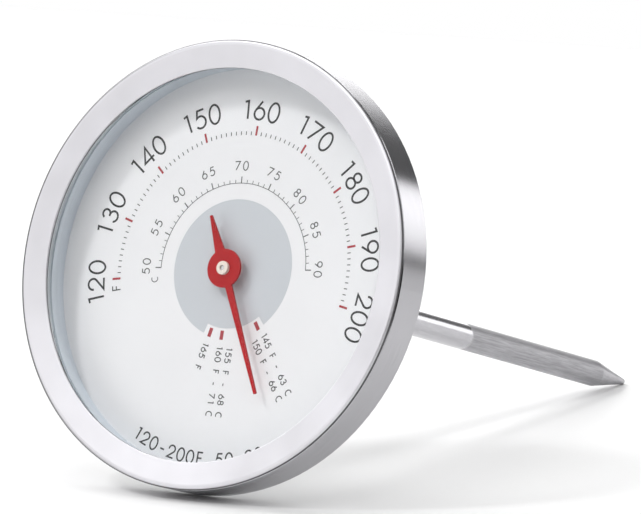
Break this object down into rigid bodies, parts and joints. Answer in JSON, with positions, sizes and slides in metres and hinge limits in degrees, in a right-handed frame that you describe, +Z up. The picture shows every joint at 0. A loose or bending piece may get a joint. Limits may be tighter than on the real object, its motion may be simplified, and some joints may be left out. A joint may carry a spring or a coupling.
{
  "type": "dial meat thermometer",
  "caption": "Round dial thermometer with a flat steel bezel, recessed white dial under glass, red two-armed pointer and a thin pointed probe stem.",
  "frame": {"origin": "centre of the footprint on the surface that the instrument lies on, at rest on the rim of its case and the point of its probe", "axes": "+Z up; the stem runs from the dial towards +Y and slopes down 16.13 degrees to its point; the dial faces -Y and leans back by the same angle; +X is the dial's right as it is read"},
  "size_m": [0.064, 0.1202, 0.0632],
  "materials": {
    "satin_steel": "satin, faint circular grain",
    "brushed_band": "brushed round the band",
    "spun_cover": "spun, circular grain",
    "clear_glass": "clear, toughened",
    "grey_silicone": "matte, pale",
    "anodised_ring": "satin anodised",
    "white_dial": "matte white lacquer, printed scales",
    "turned_steel": "turned, bright",
    "brass_bush": "turned",
    "stem_steel": "polished above, ground matte over the sensing length",
    "point_steel": "ground matte",
    "bimetal_strip": "rolled strip",
    "red_enamel": "red enamel, slight gloss",
    "pale_bushing": "pale moulded bush"
  },
  "bodies": {
    "head_and_stem": {"bezel_ring": "satin_steel", "lens_gasket": "grey_silicone", "lens": "clear_glass", "spacer_ring": "anodised_ring", "dial_plate": "white_dial", "case_seal": "grey_silicone", "case_band": "brushed_band", "back_cover": "spun_cover", "stem_boss": "turned_steel", "boss_seal": "grey_silicone", "boss_washer": "turned_steel", "boss_nut": "turned_steel", "upper_bearing": "brass_bush", "stem_tube": "stem_steel", "probe_tip": "point_steel", "coil_anchor": "turned_steel", "bimetal_coil": "bimetal_strip", "lower_bearing": "brass_bush"},
    "pointer_assembly": {"shaft": "turned_steel", "coil_collet": "brass_bush", "pointer": "red_enamel", "pointer_bushing": "pale_bushing"}
  },
  "joints": [
    {"name": "pointer_turn", "type": "hinge", "parent": "head_and_stem", "child": "pointer_assembly", "pos_m": [0, -0.04748, 0.03144], "axis": [0, 0.9606, -0.2779], "range_deg": [-112.5, 337.5], "stiffness_Nm_per_rad": 0.00032}
  ]
}
